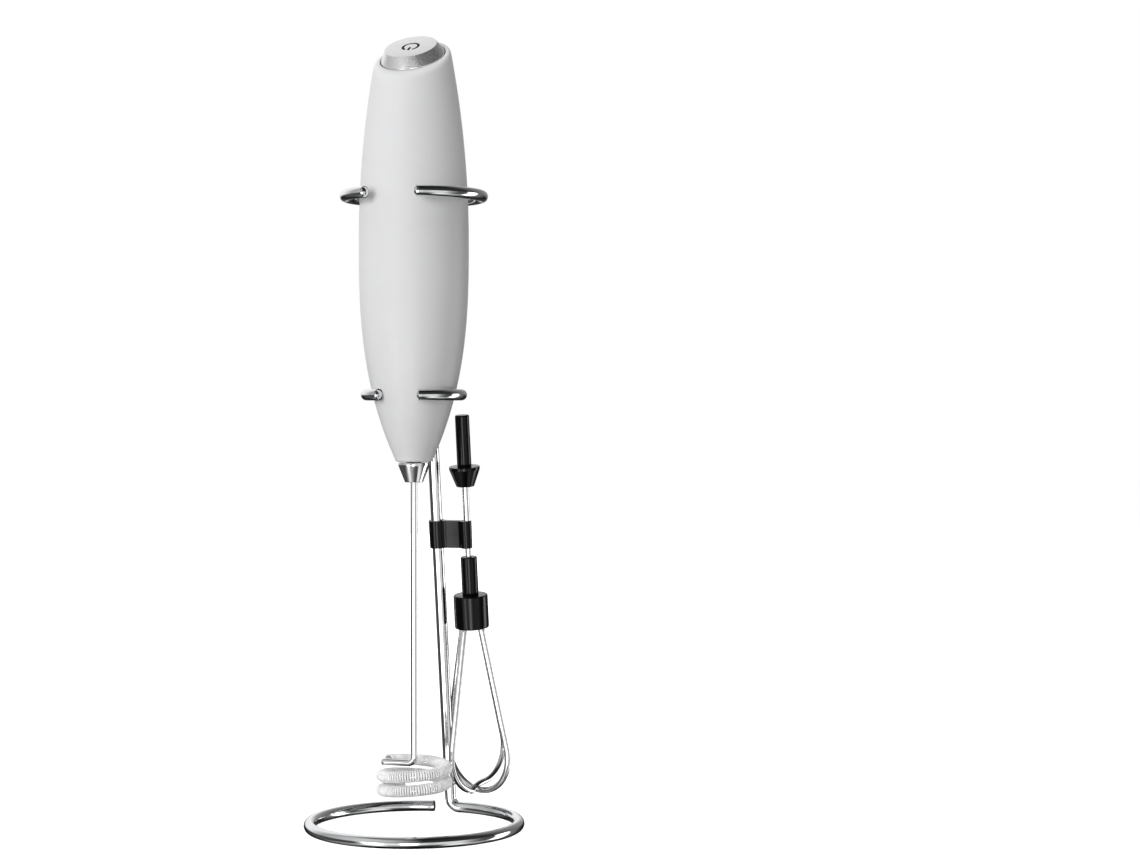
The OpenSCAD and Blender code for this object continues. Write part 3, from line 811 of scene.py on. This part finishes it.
def make_collar(node, name, matrix, bore_r):
    """Cone with a straight rim and rounded edges, bored for its shaft."""
    inverse = matrix.inverted()
    local = np.array([inverse @ Vector(p) for p in points_of(node)])
    low, high = local[:, 2].min(), local[:, 2].max()
    wide = local[:, 0].max()
    outline = rounded([
        (bore_r, low), (COLLAR_TIP_R, low), (wide, high - COLLAR_RIM), (wide, high), (bore_r, high)
    ], COLLAR_ROUND)
    stand_for(node, name, *lathe(outline, matrix, 96, True))


def make_plug(node, name, matrix, plug_r):
    """Drive plug: a plain rod with a broken lower edge and a chamfered end."""
    inverse = matrix.inverted()
    heights = [(inverse @ Vector(p)).z for p in points_of(node)]
    low, high = min(heights), max(heights)
    corners = [
        (CENTRE_R, low), (plug_r, low), (plug_r, high - PLUG_CHAMFER),
        (plug_r - PLUG_CHAMFER, high), (CENTRE_R, high)
    ]
    stand_for(node, name, *lathe(rounded(corners, PLUG_ROUND, 3), matrix, 64))


COIL_TURNS = 2.1
COIL_START = 165
SPRING_WIRE = 0.33 * MM
SPRING_PITCH = 0.72 * MM
COIL_TUBE_R = 1.9 * MM
CORE_WIRE_R = 0.9 * MM


def make_coil():
    """Fine spring wound round a core wire, which is bent into the whisk's own rings."""
    low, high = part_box("whisk_coil")
    ring_r = (high.x - low.x) / 2 - COIL_TUBE_R
    drop = (high.z - low.z - 2 * COIL_TUBE_R) / COIL_TURNS
    top = high.z - COIL_TUBE_R

    def centre(turn):
        a = math.radians(COIL_START) - 2 * math.pi * turn
        return Vector((ring_r * math.cos(a), ring_r * math.sin(a), top - drop * turn))

    length = COIL_TURNS * 2 * math.pi * ring_r
    windings = round(length / SPRING_PITCH)
    steps = 14
    path = []
    for i in range(windings * steps + 1):
        turn = COIL_TURNS * i / (windings * steps)
        a = math.radians(COIL_START) - 2 * math.pi * turn
        outward = Vector((math.cos(a), math.sin(a), 0))
        phase = 2 * math.pi * i / steps
        offset = outward * math.cos(phase) + Z_AXIS * math.sin(phase)
        path.append(centre(turn) + offset * (COIL_TUBE_R - SPRING_WIRE))
    stand_for("whisk_coil", "whisk_spring_coil", *sweep(path, SPRING_WIRE, 6, 0.05 * MM))
    core = [centre(COIL_TURNS * i / 120) for i in range(121)]
    add_piece("whisk_core_wire", *sweep(core, CORE_WIRE_R, 20), "whisk", "polished_steel")


# ---- Spare beater ----

BEATER_SHAFT_R = 1 * MM
BEATER_PLUG_R = 2.25 * MM
NECK_R = 2.6 * MM
NECK_ROUND = 0.3 * MM
HUB_R = 5.45 * MM
HUB_ROUND = 0.4 * MM


def make_beater():
    def extent(node):
        return span(node, post_axis, post_origin)

    shaft_r = BEATER_SHAFT_R
    shaft_low, shaft_high = extent("beater_shaft")
    shaft = [beater_frame @ Vector((0, 0, z)) for z in np.linspace(shaft_low, shaft_high, 10)]
    stand_for("beater_shaft", "beater_steel_shaft", *sweep(shaft, shaft_r, 28, SHAFT_TIP))
    make_collar("beater_collar", "beater_cone_collar", beater_frame, shaft_r)
    make_plug("beater_plug", "beater_drive_plug", beater_frame, BEATER_PLUG_R)
    low, high = extent("beater_neck")
    neck = rounded([(shaft_r, low), (NECK_R, low), (NECK_R, high), (shaft_r, high)], NECK_ROUND)
    stand_for("beater_neck", "beater_hub_neck", *lathe(neck, beater_frame, 64, True))
    low, high = extent("beater_hub")
    hub = rounded([(CENTRE_R, low), (HUB_R, low), (HUB_R, high), (CENTRE_R, high)], HUB_ROUND, 6)
    stand_for("beater_hub", "beater_black_hub", *lathe(hub, beater_frame, 96))
    make_loops(low)


LOOP_R = 12.6 * MM
LOOP_SPREAD = 3.9 * MM
LOOP_WIRE_R = 1 * MM
LOOP_BEAD = 0.03 * MM
LOOP_IN_HUB = 2 * MM
LOOP_TURN = -22
STEP_FROM = 4 * MM
STEP_RISE = 2.3 * MM
STEP_LEAVE = 1 * MM
STEP_ARRIVE = 5 * MM
CORNER_R = 10.6 * MM


def loop_half(across, up, radius, start, hub_low):
    """Half of a loop in its own plane: a bottom arc, and the straight side that leaves it
    tangent and runs into the hub."""
    run = Vector((LOOP_SPREAD - across, hub_low - up))
    tangent = math.pi / 2 - math.atan2(run.x, run.y) - math.acos(radius / run.length)
    side_len = math.sqrt(run.length ** 2 - radius ** 2) + LOOP_IN_HUB
    centre = Vector((across, up))
    angles = np.linspace(start, tangent, 49)
    arc = [centre + Vector((math.cos(a), math.sin(a))) * radius for a in angles]
    away = Vector((-math.sin(tangent), math.cos(tangent)))
    return arc + [arc[-1] + away * side_len * t for t in np.linspace(0, 1, 14)[1:]]


def mirrored(points):
    return [Vector((-p.x, p.y)) for p in points]


def loop_wire(node, name, turn, flat):
    matrix = beater_frame @ Matrix.Rotation(math.radians(turn), 4, "Z")
    path = [matrix @ Vector((p.x, 0, p.y)) for p in flat]
    stand_for(node, name, *sweep(path, LOOP_WIRE_R, 24, 0.1 * MM))


def make_loops(hub_low):
    """Two pear-shaped wire loops. The second steps up beside the axis and passes over the first."""
    low = span("beater_loop_front", post_axis, post_origin)[0] + LOOP_WIRE_R + LOOP_BEAD
    half = loop_half(0, low + LOOP_R, LOOP_R, -math.pi / 2, hub_low)
    loop_wire("beater_loop_front", "beater_front_loop", LOOP_TURN, mirrored(half)[:0:-1] + half)
    turned = math.asin(STEP_FROM / LOOP_R)
    near = mirrored(loop_half(0, low + LOOP_R, LOOP_R, turned - math.pi / 2, hub_low))
    crossing = low + STEP_RISE
    far = loop_half(LOOP_R - CORNER_R, crossing + CORNER_R, CORNER_R, -math.pi / 2, hub_low)
    over = far[0] - Vector((STEP_ARRIVE, 0))
    under = near[0] + Vector((math.cos(turned), -math.sin(turned))) * STEP_LEAVE
    step = cubic(near[0], under, over, far[0], 24)
    loop_wire("beater_loop_side", "beater_side_loop", LOOP_TURN + 90, near[:0:-1] + step + far[1:])


# ---- Clip ----

WIRE_PLAY = 0.05 * MM
CLIP_WALL = 0.7 * MM
CLIP_END_R = 1.85 * MM
CLIP_END_IN = 0.5 * MM
CLIP_WEB = 0.8 * MM
CLIP_FILLET = 1.5 * MM
CLIP_EDGE = 0.15 * MM


def arc_xy(x, y, r, start, end, steps):
    """Points of an arc in the clip's plane, between two angles in radians."""
    return [(x + r * math.cos(a), y + r * math.sin(a)) for a in np.linspace(start, end, steps)]


def clip_outline():
    """Round the clip's collar, web, fillets and open end, whose slot faces away from the frother."""
    collar = wire_r + WIRE_PLAY + CLIP_WALL
    end_x = beater_x - CLIP_END_IN
    slot = BEATER_SHAFT_R + WIRE_PLAY
    rise = CLIP_WEB + CLIP_FILLET
    near_x = math.sqrt((collar + CLIP_FILLET) ** 2 - rise ** 2)
    far_x = end_x - math.sqrt((CLIP_END_R + CLIP_FILLET) ** 2 - rise ** 2)
    near_a, far_a = math.atan2(rise, near_x), math.atan2(rise, end_x - far_x)
    quarter = math.pi / 2
    right_tip = math.acos((beater_x + slot - end_x) / CLIP_END_R)
    left_tip = math.acos((beater_x - slot - end_x) / CLIP_END_R)
    out = arc_xy(0, 0, collar, near_a, 2 * math.pi - near_a, 60)
    out += arc_xy(near_x, -rise, CLIP_FILLET, math.pi - near_a, quarter, 10)[1:]
    out += arc_xy(far_x, -rise, CLIP_FILLET, quarter, far_a, 10)
    out += arc_xy(end_x, 0, CLIP_END_R, far_a - math.pi, right_tip, 40)[1:]
    out += arc_xy(beater_x, 0, slot, 0, -math.pi, 24)
    out += arc_xy(end_x, 0, CLIP_END_R, left_tip, math.pi - far_a, 10)
    out += arc_xy(far_x, rise, CLIP_FILLET, -far_a, -quarter, 10)[1:]
    out += arc_xy(near_x, rise, CLIP_FILLET, -quarter, near_a - math.pi, 10)[:-1]
    return out


def make_clip():
    low, high = span("clip", post_axis, post_origin)
    outer = clip_outline()
    bore = arc_xy(0, 0, wire_r + WIRE_PLAY, 0, 2 * math.pi, 61)[:-1]
    flat = [Vector((x, y, 0)) for x, y in outer + bore]
    caps = tessellate_polygon([flat[:len(outer)], flat[len(outer):]])
    count = len(flat)
    verts = [post_frame @ Vector((p.x, p.y, z)) for z in (low, high) for p in flat]
    faces = [tuple(cap) for cap in caps] + [tuple(i + count for i in reversed(cap)) for cap in caps]
    for start, length in ((0, len(outer)), (len(outer), len(bore))):
        for k in range(length):
            i, j = start + k, start + (k + 1) % length
            faces.append((i, j, j + count, i + count))
    clip = stand_for("clip", "clip_black", verts, faces, math.radians(50))
    bevel = clip.modifiers.new("edge_round", "BEVEL")
    bevel.width = CLIP_EDGE
    bevel.segments = 2
    bevel.limit_method = "ANGLE"
    bevel.angle_limit = math.radians(60)


def keep_inner_parts():
    """Each CAD node takes its slot's look. The sealed inner parts keep their CAD shapes."""
    for node, piece in nodes.items():
        piece.data.materials.clear()
        piece.data.materials.append(looks[slot_of[node]])


# ---- Studio ----

STUDIO_R = 3
FLOOR_HALF = 2.2
AMBIENT = 0.31
# Brightness that the polished parts mirror, by bearing from the photograph's camera
LEVEL_CARDS = [
    (-180, 0.9), (-165, 0.5), (-150, 0.14), (-112, 0.08), (-66, 0.07), (-58, 0.6), (-50, 4),
    (-38, 4), (-32, 1.0), (-16, 1.0), (-11, 6), (-2, 6), (5, 0.9), (18, 0.6), (30, 0.8), (50, 0.8),
    (62, 0.30), (74, 0.09), (90, 0.09), (97, 3.5), (109, 3.5), (118, 0.2), (150, 0.12), (165, 0.5),
    (180, 0.9)
]
# The same for cards that stand low, which only downward-facing cones mirror
LOW_CARDS = [
    (-180, 0.1), (-120, 0.25), (-80, 0.35), (-60, 1.1), (-45, 1.1), (-32, 0.5), (-15, 0.4), (0, 0.12),
    (34, 0.06), (44, 1.1), (48, 1.1), (62, 1.1), (75, 0.5), (95, 0.5), (110, 0.1), (180, 0.1)
]
# The same for cards that stand high, which the button and the tops of the rings mirror
HIGH_CARDS = [
    (-180, 1), (-140, 1), (-110, 0.4), (-60, 0.7), (-25, 0.5), (10, 0.03), (90, 0.03), (160, 0.3), (180, 1)
]
# How much higher that bank starts on the right, in units of HIGH_SHIFT degrees
HIGH_START = [(-180, 0), (-5, 0), (12, 1), (130, 1), (150, 0), (180, 0)]
HIGH_SHIFT = 11
# Heights over the horizon at which the low and the high bank take over from the level one
LOW_SHARE = [(-90, 1), (-39, 1), (-31, 0), (90, 0)]
HIGH_SHARE = [(-90, 0), (-3, 0), (2, 1), (90, 1)]
# Share of the banks' brightness by height, and how much of it is left behind the object
HEIGHTS = [(-90, 0.04), (-64, 0.05), (-54, 0.9), (-20, 1.0), (52, 1.0), (66, 0.3), (90, 0.35)]
BEHIND = [(-180, 1), (-150, 1), (-125, 0), (125, 0), (150, 1), (180, 1)]
BEHIND_HEIGHTS = [(-90, 0.05), (-4, 0.08), (5, 0.9), (10, 1), (90, 1)]


def ramp_node(tree, source, stops, low, high):
    """Brightness ramp over stops given in degrees."""
    span_map = tree.nodes.new("ShaderNodeMapRange")
    span_map.inputs["From Min"].default_value = math.radians(low)
    span_map.inputs["From Max"].default_value = math.radians(high)
    tree.links.new(source, span_map.inputs["Value"])
    ramp = tree.nodes.new("ShaderNodeValToRGB")
    tree.links.new(span_map.outputs["Result"], ramp.inputs["Fac"])
    elements = ramp.color_ramp.elements
    while len(elements) > 1:
        elements.remove(elements[0])
    elements[0].position = 0
    elements[0].color = (stops[0][1],) * 3 + (1,)
    for place, value in stops[1:]:
        element = elements.new((place - low) / (high - low))
        element.color = (value,) * 3 + (1,)
    return ramp.outputs["Color"]


def math_node(tree, operation, *values):
    node = tree.nodes.new("ShaderNodeMath")
    node.operation = operation
    for socket, value in zip(node.inputs, values):
        if isinstance(value, (int, float)):
            socket.default_value = value
        else:
            tree.links.new(value, socket)
    return node.outputs[0]


def blend_node(tree, first, second, share):
    """The first value, giving way to the second as the share goes from 0 to 1."""
    kept = math_node(tree, "MULTIPLY", first, math_node(tree, "SUBTRACT", 1.0, share))
    return math_node(tree, "ADD", kept, math_node(tree, "MULTIPLY", second, share))


def emitter(name):
    """Material that only shines, with its node tree and its emission node."""
    material = bpy.data.materials.new(name)
    material.use_nodes = True
    tree = material.node_tree
    tree.nodes.clear()
    emission = tree.nodes.new("ShaderNodeEmission")
    output = tree.nodes.new("ShaderNodeOutputMaterial")
    tree.links.new(emission.outputs[0], output.inputs["Surface"])
    return material, tree, emission


def make_dome(name, material, radius):
    bm = bmesh.new()
    bmesh.ops.create_icosphere(bm, subdivisions=5, radius=radius)
    mesh = bpy.data.meshes.new(name)
    bm.to_mesh(mesh)
    bm.free()
    mesh.materials.append(material)
    dome = bpy.data.objects.new(name, mesh)
    bpy.context.scene.collection.objects.link(dome)
    dome.visible_shadow = False
    dome.visible_diffuse = False
    dome.visible_transmission = False
    return dome


def make_surround():
    """White backdrop, and the banks of white and black cards that the chrome mirrors."""
    material, _, emission = emitter("backdrop_white")
    emission.inputs["Color"].default_value = (1, 1, 1, 1)
    backdrop = make_dome("backdrop", material, STUDIO_R + 0.5)
    backdrop.visible_glossy = False
    material, tree, emission = emitter("card_banks")
    place = tree.nodes.new("ShaderNodeTexCoord").outputs["Object"]
    parts = tree.nodes.new("ShaderNodeSeparateXYZ")
    tree.links.new(place, parts.inputs[0])
    x, y, z = parts.outputs
    bearing = math_node(tree, "ARCTAN2", x, math_node(tree, "MULTIPLY", y, -1.0))
    turned = math_node(tree, "SUBTRACT", bearing, VIEW_AZIMUTH)
    turned = math_node(tree, "WRAP", turned, math.pi, -math.pi)
    height = math_node(tree, "ARCSINE", math_node(tree, "DIVIDE", z, float(STUDIO_R)))

    def by_bearing(stops):
        return ramp_node(tree, turned, stops, -180, 180)

    def by_height(stops, source=height):
        return ramp_node(tree, source, stops, -90, 90)

    shift = math_node(tree, "MULTIPLY", by_bearing(HIGH_START), math.radians(HIGH_SHIFT))
    over = math_node(tree, "SUBTRACT", height, shift)
    light = blend_node(tree, by_bearing(LEVEL_CARDS), by_bearing(LOW_CARDS), by_height(LOW_SHARE))
    light = blend_node(tree, light, by_bearing(HIGH_CARDS), by_height(HIGH_SHARE, over))
    light = math_node(tree, "MULTIPLY", light, by_height(HEIGHTS))
    shade = math_node(tree, "SUBTRACT", 1.0, by_height(BEHIND_HEIGHTS))
    shade = math_node(tree, "MULTIPLY", by_bearing(BEHIND), shade)
    kept = math_node(tree, "SUBTRACT", 1.0, shade)
    tree.links.new(math_node(tree, "MULTIPLY", light, kept), emission.inputs["Strength"])
    cards = make_dome("card_banks", material, STUDIO_R)
    cards.visible_camera = False


def make_floor():
    corners = [(FLOOR_HALF * x, FLOOR_HALF * y, 0) for x, y in ((-1, -1), (1, -1), (1, 1), (-1, 1))]
    mesh = bpy.data.meshes.new("floor")
    mesh.from_pydata(corners, [], [(0, 1, 2, 3)])
    look = Look("floor_white", (0.93, 0.93, 0.93), 0.8)
    look.vary_color(look.noise(8, 2), 0.995, 1.005)
    look.set("Emission Color", (1, 1, 1, 1))
    look.set("Emission Strength", 0.65)
    mesh.materials.append(look.material)
    floor = bpy.data.objects.new("floor", mesh)
    bpy.context.scene.collection.objects.link(floor)
    floor.visible_glossy = False
    floor.visible_diffuse = False


def area_light(name, bearing, elevation, distance, size, power, aim=0.12, spread=180):
    """Softbox aimed at a height on the frother's axis, placed by its bearing from the camera."""
    data = bpy.data.lights.new(name, "AREA")
    data.shape = "RECTANGLE"
    data.size, data.size_y = size
    data.energy = power
    data.spread = math.radians(spread)
    light = bpy.data.objects.new(name, data)
    a, e = VIEW_AZIMUTH + math.radians(bearing), math.radians(elevation)
    direction = Vector((math.sin(a) * math.cos(e), -math.cos(a) * math.cos(e), math.sin(e)))
    light.location = Z_AXIS * aim + direction * distance
    light.rotation_euler = (-direction).to_track_quat("-Z", "Y").to_euler()
    bpy.context.scene.collection.objects.link(light)
    light.visible_glossy = False
    light.visible_camera = False
    return light


def make_lights():
    area_light("key", -33, 3, 1.5, (0.8, 1.1), 18.2)
    area_light("left_edge", -105, 10, 1.4, (0.6, 1.0), 2.2)
    area_light("top", 0, 89, 1.3, (1.6, 1.6), 7)
    area_light("back", 180, 15, 1.5, (1.0, 1.2), 6)
    area_light("low_fill", 20, 6, 0.9, (0.3, 0.06), 0.02, 0.018, 8)


def make_world():
    world = bpy.data.worlds.new("studio")
    world.use_nodes = True
    bpy.context.scene.world = world
    background = world.node_tree.nodes["Background"]
    background.inputs["Color"].default_value = (1, 1, 1, 1)
    background.inputs["Strength"].default_value = AMBIENT


bpy.context.scene.view_settings.view_transform = "Standard"
keep_inner_parts()
make_stand()
make_handle()
make_button()
make_whisk()
make_beater()
make_clip()
make_floor()
make_surround()
make_lights()
make_world()
